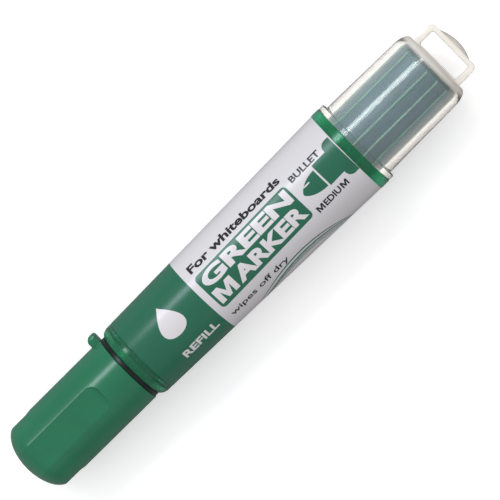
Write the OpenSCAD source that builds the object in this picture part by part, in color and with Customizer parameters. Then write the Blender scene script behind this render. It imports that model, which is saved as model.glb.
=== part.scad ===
// Refillable whiteboard marker: a pull-off cap, a barrel that holds the nib and its comb feed,
// and an ink cartridge that pulls out of the tail.
// It lies on its side along X, with the cap at -X and the front of the label facing +Z.
// Places along the axis are counted from the cap's closed end, and lay() puts a piece on the ground.

/* [Cap] */
// Length of the cap, from its domed end to its rim
cap_len = 28.8; // [28.5:0.1:30]
// Radius of the cap at its rim
cap_rim_r = 8.05; // [8:0.05:8.4]
// Radius of the cap where its side meets the dome
cap_end_r = 8; // [7.85:0.05:8]
// Depth of the domed end
dome_len = 4.4; // [3.5:0.1:4.8]
// Distance from the axis to the two long finger flats
finger_flat_at = 7.4; // [7.35:0.01:7.5]
// Length of the finger flats, from the domed end
finger_flat_len = 22.2; // [18:0.1:22.2]
// Distance from the axis to the two short side flats
side_flat_at = 7.8; // [7.7:0.01:7.84]
// Length of the side flats, from the domed end
side_flat_len = 8.4; // [7:0.1:10]
// Width along the axis of the lug that stops the marker rolling away
lug_w = 2.1; // [1.6:0.1:2.6]
// Length of the lug round the rim
lug_len = 5; // [4:0.1:7]

/* [Nib and its holder] */
// Radius of the bullet nib
nib_r = 2.5; // [2.2:0.1:2.6]
// Distance from the cap's closed end to the tip of the nib
nib_tip_x = 8.2; // [7.5:0.1:8.6]
// Length of the nib's rounded point
nib_point_len = 3.4; // [2.5:0.1:4]
// Radius of the neck that holds the nib
neck_r = 3.6; // [3.3:0.1:3.7]
// Radius of the shoulder behind the neck
shoulder_r = 5.6; // [5:0.1:5.8]
// Radius of the seat that the cap pushes onto
seat_r = 7; // [6.9:0.01:7.05]

/* [Feed] */
// Number of fins on the ink collector
fin_count = 14; // [10:1:16]
// Thickness of a fin
fin_t = 0.5; // [0.4:0.05:0.6]
// Radius of the fins
fin_r = 5.75; // [5.4:0.05:5.8]
// Radius of the wick that carries ink to the nib
wick_r = 2; // [1.8:0.1:2]

/* [Barrel] */
// Radius of the barrel just behind its rounded front edge
barrel_front_r = 8.8; // [8.7:0.05:9]
// Radius of the barrel at the tail end of the label
barrel_tail_r = 10.03; // [10:0.01:10.05]
// Width of the clear band between the barrel's front edge and the label
clear_band = 3.1; // [2.5:0.05:5]
// Length of the label
label_len = 57.8; // [55:0.1:58]
// Thickness of the label film
label_t = 0.1; // [0.08:0.01:0.2]
// Radius of the bead round the barrel's mouth
bead_r = 10.1; // [10.1:0.1:10.6]
// Width of the bead
bead_w = 2.2; // [1.8:0.1:2.5]

/* [Cartridge] */
// Radius of the cartridge's flange
flange_r = 10; // [9.8:0.05:10.1]
// Width of the flange
flange_w = 1.2; // [1:0.1:1.6]
// Radius of the shell behind the flange
shell_front_r = 9.05; // [8.9:0.05:9.2]
// Radius of the shell near its end
shell_end_r = 8.77; // [8.7:0.01:8.9]
// Length of the shell behind the flange
shell_len = 22; // [21:0.1:24]
// Thickness of the shell's end wall
shell_end_t = 1.1; // [0.9:0.1:1.5]
// Radius of the ink tank over its ribs
tank_rib_r = 7.4; // [7.35:0.01:7.4]
// Radius of the ink tank between its ribs
tank_r = 7.15; // [7.1:0.01:7.2]
// Number of ribs along the ink tank
rib_count = 16; // [12:1:20]
// Wall thickness of the ink tank
tank_wall = 0.85; // [0.7:0.05:0.95]
// Radius of the ball that shut the new tank
ball_r = 1.95; // [1.93:0.01:2]

/* [Pull tab] */
// Reach of the tab behind the shell, without its crown
tab_reach = 5.1; // [4.8:0.1:6]
// Height of the crown on the tab's bar
tab_crown = 1; // [0.5:0.1:1.2]
// Width of the tab
tab_w = 12.8; // [11.5:0.1:13]
// Thickness of the tab from face to face
tab_t = 8; // [6:0.1:9]
// Thickness of the tab's bar
tab_bar = 1.1; // [1:0.1:1.4]
// Thickness of the tab's two posts
tab_post = 1.3; // [1:0.1:1.6]

/* [Hidden] */
$fn = 96;

// Clearances: a running fit, and the room between parts that never touch
fit = 0.05;
room = 0.3;
over = 1; // how far a cutter reaches past what it cuts

// Cap
cap_seat_len = 6;
cap_bore_r = 6.3;
cap_end_wall = 1.9;
cap_hollow_chamfer = 1.5;
finger_flat_half_w = 3.3;
finger_flat_corner = 2.2;
side_flat_half_w = 2;
side_flat_corner = 2;
lug_round = 1.1;
lug_root = 0.8; // how far the lug runs into the cap's wall
liner_wall = 0.8;
liner_base_t = 1.3;
liner_foot_len = 7;
liner_r = 5.4;
liner_lip_len = 1.2;
liner_bevel = 0.6;
liner_stop = 1.8; // how far the liner's mouth stays short of the neck's end

// Holder, from its mouth to the plug inside the barrel
nib_bare_len = 4.8; // length of the nib outside its holder
nib_held_len = 8.5; // length of the nib's full width inside its holder
nib_spigot_len = 3.7;
nib_spigot_r = nib_r - 0.9;
holder_neck_len = 4.2;
neck_bevel = 0.4;
neck_rise = 2.4; // length over which the neck widens to the shoulder
shoulder_round = [1.6, 2.2]; // rounding of the shoulder, out from the axis and along it
seat_gap = 0.1;
seat_bevel = 0.6;
holder_flange_r = 7.85;
holder_flange_w = 0.8;
plug_len = 1.45;
plug_round = 0.95;
feed_bore_r = 5.9;
chamber_r = 4.2;
chamber_gap = 2.5; // from the nib's shoulder to the start of the chamber
holder_x = nib_tip_x + nib_bare_len;
neck_end_x = holder_x + holder_neck_len;
nib_shoulder_x = holder_x + nib_held_len;
nib_end_x = nib_shoulder_x + nib_spigot_len;
chamber_x = nib_shoulder_x + chamber_gap;
seat_x = cap_len - cap_seat_len + seat_gap;
holder_flange_x = cap_len + fit;
barrel_x = holder_flange_x + holder_flange_w;

// Feed
collector_x = barrel_x + plug_len;
fin_pitch = 1.04;
fin_core_r = 3;
collector_end_x = collector_x + fin_count * fin_pitch;
slit_w = 0.4;
slit_floor = 2.5;
block_x = collector_end_x;
block_floor = 1;
block_socket = 0.8;
cup_floor_x = block_x + block_socket + block_floor;
cup_r = 4.5;
cup_depth = 4;
block_end_x = cup_floor_x + cup_depth;
ink_pipe_r = 0.8;
ink_pipe_bore = 0.45;
air_pipe_r = 0.6;
air_pipe_bore = 0.35;
pipe_off = 0.9; // distance from the axis to each pipe
ink_pipe_reach = 8; // how far each pipe stands out of the cup's floor
air_pipe_reach = 6;

// Barrel
front_round = [1.45, 2.05]; // rounding of the front edge, out from the axis and along it
label_x = barrel_x + clear_band;
label_end_x = label_x + label_len;
barrel_end_x = label_end_x + bead_w;
front_straight_x = barrel_x + front_round[1];
tank_bore_r = 7.75;
tank_bore_taper = 1; // length over which the bore widens behind the block
tank_bore_x = block_end_x + tank_bore_taper;
spigot_r = 8.75;
spigot_len = 8.2;
mouth_r = spigot_r + fit;
mouth_x = barrel_end_x - spigot_len - room;

// Cartridge
flange_end_x = barrel_end_x + flange_w;
shell_end_x = flange_end_x + shell_len;
end_round = [1.6, 3.4]; // rounding of the shell's end, out from the axis and along it
shell_bore_r = tank_rib_r + fit;
tank_end_x = shell_end_x - shell_end_t;
neck_x = cup_floor_x + room;
tank_neck_r = 4.25;
tank_mouth_r = 3;
neck_len = 4.3;
groove_gap = 1.2;
groove_x = neck_x + groove_gap;
groove_w = 1;
groove_floor_r = 3.55;
seal_section_r = 0.45;
shoulder_len = 2.8;
shoulder_bevel = [1, 0.8]; // where the tank's shoulder meets its side, out from the axis and along it
tank_end_bevel = 0.8;
tank_bore_end = 0.9;
tank_bore_bevel = 0.6;
tank_bore_start = 0.5; // from the end of the shoulder to the straight part of the tank's bore
tank_mouth_end = 0.4; // from the end of the neck to the end of its straight bore
tank_inner_r = tank_r - tank_wall;
rib_w = 0.6;
rib_margin = 1.4;
rib_root = 0.1; // how far a rib runs into the tank's wall
stopper_bore_r = 1.9;
stopper_len = 3;
stopper_bevel = 0.3;
ink_level = 1; // height of the ink above the axis as the marker lies
ink_gap = 0.6;
ball_gap = 0.2;
ball_x = 90;
ball_drop = tank_inner_r - ball_r - ball_gap;

// Tab
total_len = shell_end_x + tab_reach + tab_crown;
tab_corner = 1.2;
crown_half = 4.2;
tab_root = 0.6; // how far the tab runs into the shell's end wall
window_round = 0.4;

// Points on part of an ellipse about c, with radii r, from angle a0 to a1
function arc(c, r, a0, a1, n = 8) =
    [for (i = [0:n]) let (a = a0 + (a1 - a0) * i / n) [c[0] + r[0] * cos(a), c[1] + r[1] * sin(a)]];

// Outer radius of the barrel and label at a place along the axis
function barrel_r_at(x) = barrel_front_r
    + (barrel_tail_r - barrel_front_r) * (x - front_straight_x) / (label_end_x - front_straight_x);

// Stands the marker's axis above the ground, with X = 0 at half its length
module lay() translate([-total_len / 2, 0, bead_r]) children();

// A solid of revolution about the axis, from an outline of [radius, place along the axis] points
module turned(outline) rotate([0, 90, 0]) rotate_extrude() polygon(outline);

// A plain round bar along the axis
module bar(r, x0, x1) translate([x0, 0, 0]) rotate([0, 90, 0]) cylinder(r = r, h = x1 - x0);

// A straight-sided ring along the axis
module ring(r_out, r_in, x0, x1) turned([[r_in, x0], [r_out, x0], [r_out, x1], [r_in, x1]]);

// A cutter for a flat at distance d above the axis, from the domed end to a round-cornered end at len
module flat_cutter(d, len, half_w, corner)
    translate([0, 0, d]) linear_extrude(over + cap_rim_r - d) {
        translate([-over, -half_w]) square([len - corner + over, 2 * half_w]);
        translate([0, corner - half_w]) square([len, 2 * (half_w - corner)]);
        for (y = [-1, 1]) translate([len - corner, y * (half_w - corner)]) circle(corner);
    }

// The lug's outline, seen along Z: its corner towards the closed end is rounded
module lug() {
    root = cap_rim_r - lug_root;
    front = cap_len - lug_w;
    intersection() {
        translate([0, 0, -lug_len / 2]) linear_extrude(lug_len)
            polygon(concat([[front, root]],
                arc([front + lug_round, bead_r - lug_round], [lug_round, lug_round], 180, 90),
                [[cap_len, bead_r], [cap_len, root]]));
        bar(bead_r, front - over, cap_len + over);
    }
}

// The stop that the cap's hollow and the liner's foot share, at the closed end
function cap_hollow_end() = [[0, cap_end_wall], [cap_bore_r - cap_hollow_chamfer, cap_end_wall],
    [cap_bore_r, cap_end_wall + cap_hollow_chamfer]];

module cap_shell() lay() color("seagreen") difference() {
    union() {
        turned(concat([for (i = [0:12]) let (a = i * 7.5) [cap_end_r * sin(a), dome_len * (1 - cos(a))]],
            [[cap_rim_r, cap_len], [0, cap_len]]));
        lug();
    }
    turned(concat(cap_hollow_end(), [[cap_bore_r, cap_len - cap_seat_len - room],
        [seat_r + fit, cap_len - cap_seat_len], [seat_r + fit, cap_len + over], [0, cap_len + over]]));
    for (a = [0, 180]) rotate([a, 0, 0])
        flat_cutter(finger_flat_at, finger_flat_len, finger_flat_half_w, finger_flat_corner);
    for (a = [90, 270]) rotate([a, 0, 0])
        flat_cutter(side_flat_at, side_flat_len, side_flat_half_w, side_flat_corner);
}

// The liner that shuts round the neck and keeps the nib wet
module inner_cap() lay() color("gainsboro") {
    lip_end_x = neck_end_x - liner_stop;
    inside_r = liner_r - liner_wall;
    base_x = cap_end_wall + liner_base_t;
    turned(concat(cap_hollow_end(), [[cap_bore_r, liner_foot_len], [liner_r, liner_foot_len + liner_bevel],
        [liner_r, lip_end_x], [neck_r + fit, lip_end_x], [neck_r + fit, lip_end_x - liner_lip_len],
        [inside_r, lip_end_x - liner_lip_len - liner_bevel], [inside_r, base_x], [0, base_x]]));
}

module nib() lay() color("darkgreen")
    turned(concat([for (i = [0:10]) let (a = i * 9)
            [nib_r * sin(a), nib_tip_x + nib_point_len * (1 - cos(a))]],
        [[nib_r, nib_shoulder_x], [nib_spigot_r, nib_shoulder_x],
        [nib_spigot_r, nib_end_x], [0, nib_end_x]]));

// The black nose: neck, shoulder, the seat for the cap, a flange and the plug inside the barrel
module nib_holder() lay() color("dimgray")
    turned(concat([[nib_r, holder_x], [neck_r - neck_bevel, holder_x], [neck_r, holder_x + neck_bevel],
        [neck_r, neck_end_x]],
        arc([shoulder_r - shoulder_round[0], neck_end_x + neck_rise], shoulder_round, -70, 0),
        [[shoulder_r, seat_x], [seat_r - seat_bevel, seat_x], [seat_r, seat_x + seat_bevel],
        [seat_r, holder_flange_x], [holder_flange_r, holder_flange_x],
        [holder_flange_r, barrel_x]],
        arc([feed_bore_r - plug_round, barrel_x + plug_round], [plug_round, plug_round], -90, 0),
        [[feed_bore_r, collector_x], [chamber_r, collector_x], [chamber_r, chamber_x], [nib_r, chamber_x]]));

// The comb that takes up spare ink: a tube with fins, and one slit along the whole of it
module ink_collector() lay() color("darkslategray") difference() {
    turned(concat([[wick_r, nib_end_x], [chamber_r, nib_end_x], [chamber_r, collector_x]],
        [for (i = [0:fin_count - 1]) let (x = collector_x + i * fin_pitch)
            each [[fin_core_r, x], [fin_r, x], [fin_r, x + fin_t], [fin_core_r, x + fin_t]]],
        [[fin_core_r, collector_end_x], [wick_r, collector_end_x]]));
    translate([nib_end_x - over, -slit_w / 2, slit_floor])
        cube([collector_end_x - nib_end_x + 2 * over, slit_w, fin_r]);
}

module relay_wick() lay() color("wheat") bar(wick_r, nib_end_x, block_x + block_socket);

// A pipe beside the axis, from the block into the tank
module pipe(r, bore, side, reach)
    translate([0, side * pipe_off, 0]) ring(r, bore, block_x + block_socket, cup_floor_x + reach);

// The block that holds both pipes, with a cup for the cartridge's neck
module pipe_block() lay() color("silver") difference() {
    bar(feed_bore_r, block_x, block_end_x);
    bar(wick_r, block_x - over, block_x + block_socket);
    bar(cup_r, cup_floor_x, block_end_x + over);
    translate([0, pipe_off, 0]) bar(ink_pipe_r, block_x, block_end_x);
    translate([0, -pipe_off, 0]) bar(air_pipe_r, block_x, block_end_x);
}

module ink_pipe() lay() color("lightsteelblue") pipe(ink_pipe_r, ink_pipe_bore, 1, ink_pipe_reach);

module air_pipe() lay() color("lightsteelblue") pipe(air_pipe_r, air_pipe_bore, -1, air_pipe_reach);

// The clear barrel, with a bead round its mouth and a shallow step that the label lies in
module barrel() lay() color("mediumseagreen")
    turned(concat([[feed_bore_r - plug_round, barrel_x]],
        arc([barrel_front_r - front_round[0], front_straight_x], front_round, -90, 0),
        [[barrel_r_at(label_x), label_x], [barrel_r_at(label_x) - label_t, label_x],
        [barrel_tail_r - label_t, label_end_x], [bead_r, label_end_x], [bead_r, barrel_end_x],
        [mouth_r, barrel_end_x], [mouth_r, mouth_x], [tank_bore_r, mouth_x], [tank_bore_r, tank_bore_x],
        [feed_bore_r, block_end_x]],
        arc([feed_bore_r - plug_round, barrel_x + plug_round], [plug_round, plug_round], 0, -90)));

module label_film() lay() color("white")
    turned([[barrel_r_at(label_x) - label_t, label_x], [barrel_r_at(label_x), label_x],
        [barrel_tail_r, label_end_x], [barrel_tail_r - label_t, label_end_x]]);

// The outline that the tab has from both sides: straight edges, round corners and a crowned end
module tab_outline(half_w) {
    end_x = shell_end_x + tab_reach;
    crown_r = (crown_half * crown_half + tab_crown * tab_crown) / (2 * tab_crown);
    crown_a = asin(min(crown_half, half_w - tab_corner) / crown_r);
    crown_x = end_x + tab_crown - crown_r;
    polygon(concat([[shell_end_x - tab_root, -half_w]],
        arc([end_x - tab_corner, tab_corner - half_w], [tab_corner, tab_corner], -90, 0),
        arc([crown_x, 0], [crown_r, crown_r], -crown_a, crown_a, 12),
        arc([end_x - tab_corner, half_w - tab_corner], [tab_corner, tab_corner], 0, 90),
        [[shell_end_x - tab_root, half_w]]));
}

module tab_window() {
    x0 = shell_end_x + room + window_round;
    x1 = shell_end_x + tab_reach - tab_bar - window_round;
    half = tab_w / 2 - tab_post;
    translate([x0 - window_round, window_round - half])
        square([x1 - x0 + 2 * window_round, 2 * (half - window_round)]);
    translate([x0, -half]) square([x1 - x0, 2 * half]);
    for (x = [x0, x1], y = [-1, 1]) translate([x, y * (half - window_round)]) circle(window_round);
}

// The clear shell round the tank: spigot, flange and body, with the pull tab on its end wall
module cartridge_shell() lay() color("antiquewhite") {
    turned(concat([[shell_bore_r, barrel_end_x - spigot_len], [spigot_r, barrel_end_x - spigot_len],
        [spigot_r, barrel_end_x], [flange_r, barrel_end_x], [flange_r, flange_end_x],
        [shell_front_r, flange_end_x]],
        arc([shell_end_r - end_round[0], shell_end_x - end_round[1]], end_round, 0, 90),
        [[0, shell_end_x], [0, tank_end_x], [shell_bore_r, tank_end_x]]));
    difference() {
        intersection() {
            translate([0, 0, -tab_t]) linear_extrude(2 * tab_t) tab_outline(tab_w / 2);
            rotate([90, 0, 0]) translate([0, 0, -tab_w]) linear_extrude(2 * tab_w) tab_outline(tab_t / 2);
        }
        translate([0, 0, -tab_t]) linear_extrude(2 * tab_t) tab_window();
    }
}

module ink_tank() lay() color("lightslategray") {
    body_x = neck_x + neck_len + shoulder_len;
    inner_x = body_x + tank_bore_start;
    inner_end_x = tank_end_x - tank_bore_end;
    turned([[tank_mouth_r, neck_x], [tank_neck_r, neck_x], [tank_neck_r, groove_x],
        [groove_floor_r, groove_x], [groove_floor_r, groove_x + groove_w],
        [tank_neck_r, groove_x + groove_w], [tank_neck_r, neck_x + neck_len],
        [tank_r - shoulder_bevel[0], body_x - shoulder_bevel[1]], [tank_r, body_x],
        [tank_r, tank_end_x - tank_end_bevel], [tank_r - tank_end_bevel, tank_end_x],
        [0, tank_end_x], [0, inner_end_x], [tank_inner_r - tank_bore_bevel, inner_end_x],
        [tank_inner_r, inner_end_x - tank_bore_bevel], [tank_inner_r, inner_x],
        [tank_mouth_r, neck_x + neck_len + tank_mouth_end]]);
    difference() {
        intersection() {
            bar(tank_rib_r, body_x + rib_margin, tank_end_x - rib_margin);
            union() for (i = [0:rib_count - 1]) rotate([i * 360 / rib_count, 0, 0])
                translate([body_x, -rib_w / 2, tank_r - 3 * rib_root])
                    cube([tank_end_x - body_x, rib_w, over]);
        }
        bar(tank_r - rib_root, body_x, tank_end_x);
    }
}

// The stopper in the tank's mouth, whose bore the ball shut while the tank was new
module tank_stopper() lay() color("whitesmoke")
    turned([[stopper_bore_r + stopper_bevel, neck_x], [tank_mouth_r, neck_x],
        [tank_mouth_r, neck_x + stopper_len],
        [stopper_bore_r, neck_x + stopper_len], [stopper_bore_r, neck_x + stopper_bevel]]);

// The soft ring that seals the tank's neck in the block's cup
module neck_seal() lay() color("black") rotate([0, 90, 0]) rotate_extrude()
    translate([cup_r - fit - seal_section_r, groove_x + groove_w / 2]) circle(seal_section_r, $fn = 24);

// The ink as it lies in the tank, with a clear channel along the ball's path
module ink_charge() lay() color("teal") difference() {
    ink_x = neck_x + neck_len + shoulder_len + ink_gap;
    bar(tank_inner_r, ink_x, tank_end_x - tank_bore_end - ink_gap);
    translate([0, -tank_r, ink_level]) cube([tank_end_x, 2 * tank_r, tank_r]);
    translate([0, 0, -ball_drop]) bar(ball_r + room, ink_x - over, tank_end_x);
}

module seal_ball() lay() color("silver") translate([ball_x, 0, -ball_drop]) sphere(ball_r);

cap_shell();
inner_cap();
nib();
nib_holder();
ink_collector();
relay_wick();
pipe_block();
ink_pipe();
air_pipe();
barrel();
label_film();
cartridge_shell();
ink_tank();
tank_stopper();
neck_seal();
ink_charge();
seal_ball();
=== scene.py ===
# %% [markdown]
# # A refillable whiteboard marker
# The marker lies on its side along X: cap at -X, pull tab at +X, the front of the label facing up.
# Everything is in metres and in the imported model's own frame, so a size taken from a CAD node's box
# can be used as it is. A size of the marker that no box gives is a named value in millimetres.

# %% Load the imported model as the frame
import math

import bmesh
import bpy
import numpy as np
from mathutils import Matrix, Vector


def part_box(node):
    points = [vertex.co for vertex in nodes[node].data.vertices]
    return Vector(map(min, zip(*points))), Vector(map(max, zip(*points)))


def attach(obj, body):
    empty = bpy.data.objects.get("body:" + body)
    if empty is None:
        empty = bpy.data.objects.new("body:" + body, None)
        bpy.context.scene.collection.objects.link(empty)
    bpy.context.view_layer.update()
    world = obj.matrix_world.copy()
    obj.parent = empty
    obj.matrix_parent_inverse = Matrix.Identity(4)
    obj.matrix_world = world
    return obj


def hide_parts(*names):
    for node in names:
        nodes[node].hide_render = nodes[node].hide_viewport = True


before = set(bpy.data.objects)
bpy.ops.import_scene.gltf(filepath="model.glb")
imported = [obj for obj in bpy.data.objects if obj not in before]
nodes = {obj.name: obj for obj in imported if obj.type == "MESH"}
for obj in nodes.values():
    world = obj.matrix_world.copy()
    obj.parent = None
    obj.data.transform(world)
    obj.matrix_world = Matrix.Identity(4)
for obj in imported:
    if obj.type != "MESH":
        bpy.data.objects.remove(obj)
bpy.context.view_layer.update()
MM = 0.001
AXIS_Z = sum(corner.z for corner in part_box("barrel")) / 2
print("the axis is %.2f mm above the ground" % (AXIS_Z / MM))


def ends(node):
    """Where a CAD node starts and stops along the axis."""
    low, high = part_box(node)
    return low.x, high.x


def radius_of(node):
    """The largest radius of a round CAD node."""
    low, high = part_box(node)
    return (high.y - low.y) / 2


# %% [markdown]
# ## Camera
# A long lens about 0.85 m away flattens the marker as a product picture does. The camera stands a
# little towards the tail, so each rim shows as a slight bow, and it is rolled so that the marker
# climbs from lower left to upper right.

# %% Place the camera
LENS, SENSOR = 305.4, 36
CAMERA_REACH = 850 * MM
CAMERA_SHIFT = 55 * MM  # how far the camera stands towards the tail from what it looks at
MARKER_CLIMB = math.radians(44.71)
aim = Vector((1.97 * MM, -0.36 * MM, AXIS_Z))
camera_data = bpy.data.cameras.new("camera")
camera_data.lens = LENS
camera_data.sensor_width = SENSOR
camera_data.clip_start = 0.05
camera = bpy.data.objects.new("camera", camera_data)
bpy.context.scene.collection.objects.link(camera)
place = aim + Vector((CAMERA_SHIFT, 0, CAMERA_REACH))
back = (place - aim).normalized()
along = (Vector((1, 0, 0)) - back * back.x).normalized()
across = back.cross(along)
right = along * math.cos(MARKER_CLIMB) - across * math.sin(MARKER_CLIMB)
up = along * math.sin(MARKER_CLIMB) + across * math.cos(MARKER_CLIMB)
camera.matrix_world = Matrix((right, up, back)).transposed().to_4x4()
camera.location = place
bpy.context.scene.camera = camera
print("camera at", [round(v, 3) for v in place])

# %% [markdown]
# ## Helpers for materials
# A colour is written as its sRGB hex value and turned to linear light in one place. One small
# function adds a node of any kind, with its settings and its inputs, to any tree.

# %% Colour and node helpers
def linear(code):
    """An sRGB hex colour such as "2E7356" as a linear RGBA tuple."""
    parts = [int(code[i:i + 2], 16) / 255 for i in (0, 2, 4)]
    return tuple(c / 12.92 if c <= 0.04045 else ((c + 0.055) / 1.055) ** 2.4 for c in parts) + (1.0,)


def add(tree, kind, inputs=None, **settings):
    """Add a node to a tree. Each input is a value or another node's output socket."""
    node = tree.nodes.new(kind)
    for name, value in settings.items():
        setattr(node, name, value)
    for key, value in (inputs or {}).items():
        if isinstance(value, bpy.types.NodeSocket):
            tree.links.new(value, node.inputs[key])
        else:
            node.inputs[key].default_value = value
    return node


def start_material(name):
    """An empty node material, with its tree, its output and the object's own coordinates."""
    material = bpy.data.materials.new(name)
    material.use_nodes = True
    tree = material.node_tree
    tree.nodes.clear()
    output = add(tree, "ShaderNodeOutputMaterial")
    place = add(tree, "ShaderNodeTexCoord").outputs["Object"]
    return material, tree, output, place


def speckle(tree, place, per_mm, detail=3.0):
    """Noise whose grains are one over per_mm millimetres across."""
    return add(tree, "ShaderNodeTexNoise", {"Vector": place, "Scale": per_mm / MM, "Detail": detail})


def spread(tree, value, low, high):
    """Stretch noise, which stays near a half, over the range from low to high."""
    return add(tree, "ShaderNodeMapRange", {"Value": value, "From Min": 0.3, "From Max": 0.7,
                                            "To Min": low, "To Max": high}).outputs["Result"]


def relief(tree, height, depth, strength):
    """A bump of so many metres from a height between 0 and 1."""
    return add(tree, "ShaderNodeBump", {"Height": height, "Distance": depth,
                                        "Strength": strength}).outputs["Normal"]


def shade(tree, factor, first, second):
    """Blend two colours by a factor."""
    mix = add(tree, "ShaderNodeMix", {"Factor": factor}, data_type="RGBA")
    for socket, value in ((mix.inputs[6], first), (mix.inputs[7], second)):
        if isinstance(value, bpy.types.NodeSocket):
            tree.links.new(value, socket)
        else:
            socket.default_value = value
    return mix.outputs[2]


print("half-bright sRGB grey is", round(linear("808080")[0], 3), "in linear light")


# %% [markdown]
# ## Moulded and fibrous materials
# Most of the marker is injection moulded. A mould leaves an even skin with faint flow clouds and a
# very fine spark-eroded grain, so each of these plastics is one colour with a slow cloud in it, a
# roughness that wanders a little, and a grain about a tenth of a millimetre wide.

# %% One recipe for moulded plastic
FLOW_CLOUDS = 0.12  # flow clouds per millimetre: each is about 8 mm across


def moulded(name, colour, cloud, rough=(0.25, 0.35), grain=8.0, depth=0.004 * MM, soft=0.0, sheen=0.5):
    """Injection moulded plastic: colour and cloud are hex, grain is grains per millimetre."""
    material, tree, output, place = start_material(name)
    clouds = speckle(tree, place, FLOW_CLOUDS, 4.0).outputs["Fac"]
    grains = speckle(tree, place, grain, 2.0).outputs["Fac"]
    skin = add(tree, "ShaderNodeBsdfPrincipled", {
        "Base Color": shade(tree, spread(tree, clouds, 0, 1), linear(colour), linear(cloud)),
        "Roughness": spread(tree, clouds, *rough),
        "Normal": relief(tree, grains, depth, 0.35),
        "Specular IOR Level": sheen,
        "Subsurface Weight": soft,
        "Subsurface Scale": 1.0 * MM,
        "IOR": 1.49,
    })
    tree.links.new(skin.outputs[0], output.inputs[0])
    return material


cap_plastic = moulded("moulded_polypropylene_green", "2B7354", "276D4E", rough=(0.2, 0.26))
nose_plastic = moulded("moulded_polypropylene_black", "17191B", "1F2224", rough=(0.30, 0.42))
liner_plastic = moulded("moulded_polyethylene_natural", "DDDCD4", "D2D1C8", rough=(0.38, 0.48), soft=0.3)
collector_plastic = moulded("moulded_abs_wet_with_ink", "26352F", "31463D", rough=(0.15, 0.25))
block_plastic = moulded("moulded_polypropylene_grey", "8E9598", "858C90", rough=(0.30, 0.40))
pipe_plastic = moulded("drawn_tube_milky", "AEBAC0", "9FB0B6", rough=(0.2, 0.3), soft=0.2)
seal_rubber = moulded("moulded_nitrile_rubber", "141516", "1C1D1E", rough=(0.5, 0.62), grain=5.0, sheen=0.3)
print("moulded plastics made")


# %% Bonded fibre, ink and steel
def bonded_fibre(name, colour, dry):
    """Fibres laid along the axis and glued: streaks run along X and are 0.15 mm wide."""
    material, tree, output, place = start_material(name)
    stretched = add(tree, "ShaderNodeMapping", {"Vector": place, "Scale": (0.08, 1, 1)}).outputs[0]
    streaks = speckle(tree, stretched, 6.5, 3.0).outputs["Fac"]
    skin = add(tree, "ShaderNodeBsdfPrincipled", {
        "Base Color": shade(tree, spread(tree, streaks, 0, 1), linear(colour), linear(dry)),
        "Roughness": spread(tree, streaks, 0.45, 0.8),
        "Normal": relief(tree, streaks, 0.02 * MM, 0.6),
    })
    tree.links.new(skin.outputs[0], output.inputs[0])
    return material


def liquid_ink(name, deep, thin):
    """Pigmented ink: opaque, wet and glossy, with pigment that drifts in slow clouds."""
    material, tree, output, place = start_material(name)
    drift = speckle(tree, place, 0.25, 3.0).outputs["Fac"]
    skin = add(tree, "ShaderNodeBsdfPrincipled", {
        "Base Color": shade(tree, spread(tree, drift, 0, 1), linear(deep), linear(thin)),
        "Roughness": spread(tree, drift, 0.04, 0.1),
        "IOR": 1.36,
    })
    tree.links.new(skin.outputs[0], output.inputs[0])
    return material


def ground_steel(name):
    """A ground and lapped bearing ball: bright, with hair-fine lapping marks."""
    material, tree, output, place = start_material(name)
    marks = speckle(tree, place, 12.0, 2.0).outputs["Fac"]
    skin = add(tree, "ShaderNodeBsdfPrincipled", {
        "Base Color": shade(tree, marks, linear("C2C4C6"), linear("D2D3D5")),
        "Metallic": 1.0,
        "Roughness": spread(tree, marks, 0.12, 0.2),
    })
    tree.links.new(skin.outputs[0], output.inputs[0])
    return material


nib_fibre = bonded_fibre("bonded_polyester_fibre_inked", "0F4A38", "1E6A52")
wick_fibre = bonded_fibre("bundled_fibre_inked", "3E7F68", "6FA48E")
green_ink = liquid_ink("liquid_ink_green", "07392E", "0C5040")
ball_steel = ground_steel("lapped_stainless_steel")
print("fibre, ink and steel made")

# %% [markdown]
# ## Clear plastics
# Clear plastic is a smooth skin over a tinted body that bends light. Lamps must reach what is
# inside it, so for a shadow ray the material turns to a plain tinted film, as the light that such a
# wall lets through is nearly straight. A share of haze stands for the milkiness of the plastic. It
# isn't the same all along a piece: the barrel's front band is hazier than the bead at its mouth, and
# the shell is clear round the tank but milky in its end wall and its tab, where the eye looks along
# a thick wall and not through a thin one.

# %% One recipe for clear plastic
def clear_plastic(name, tint, haze_colour, haze_cloud, haze, thick, rough=0.05, ripple=0.002 * MM):
    """Clear moulded plastic: tint colours what passes through, haze is the share that scatters.

    thick is (place, place, haze): between these places along X the haze climbs to that of a thick wall.
    """
    material, tree, output, place = start_material(name)
    waves = speckle(tree, place, 0.3, 2.0).outputs["Fac"]
    normal = relief(tree, waves, ripple, 0.3)
    body = add(tree, "ShaderNodeBsdfPrincipled", {
        "Base Color": linear(tint), "Transmission Weight": 1.0, "Roughness": rough, "IOR": 1.49,
        "Normal": normal})
    milk = add(tree, "ShaderNodeBsdfPrincipled", {
        "Base Color": shade(tree, spread(tree, waves, 0, 1), linear(haze_colour), linear(haze_cloud)),
        "Roughness": 0.16, "Normal": normal})
    spot = add(tree, "ShaderNodeSeparateXYZ", {0: place}).outputs["X"]
    share = add(tree, "ShaderNodeMapRange", {"Value": spot, "From Min": thick[0], "From Max": thick[1],
                                             "To Min": haze, "To Max": thick[2]}).outputs["Result"]
    hazy = add(tree, "ShaderNodeMixShader", {0: share, 1: body.outputs[0], 2: milk.outputs[0]})
    film = add(tree, "ShaderNodeBsdfTransparent", {"Color": linear(tint)})
    shadow = add(tree, "ShaderNodeLightPath").outputs["Is Shadow Ray"]
    both = add(tree, "ShaderNodeMixShader", {0: shadow, 1: hazy.outputs[0], 2: film.outputs[0]})
    tree.links.new(both.outputs[0], output.inputs[0])
    return material


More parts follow.
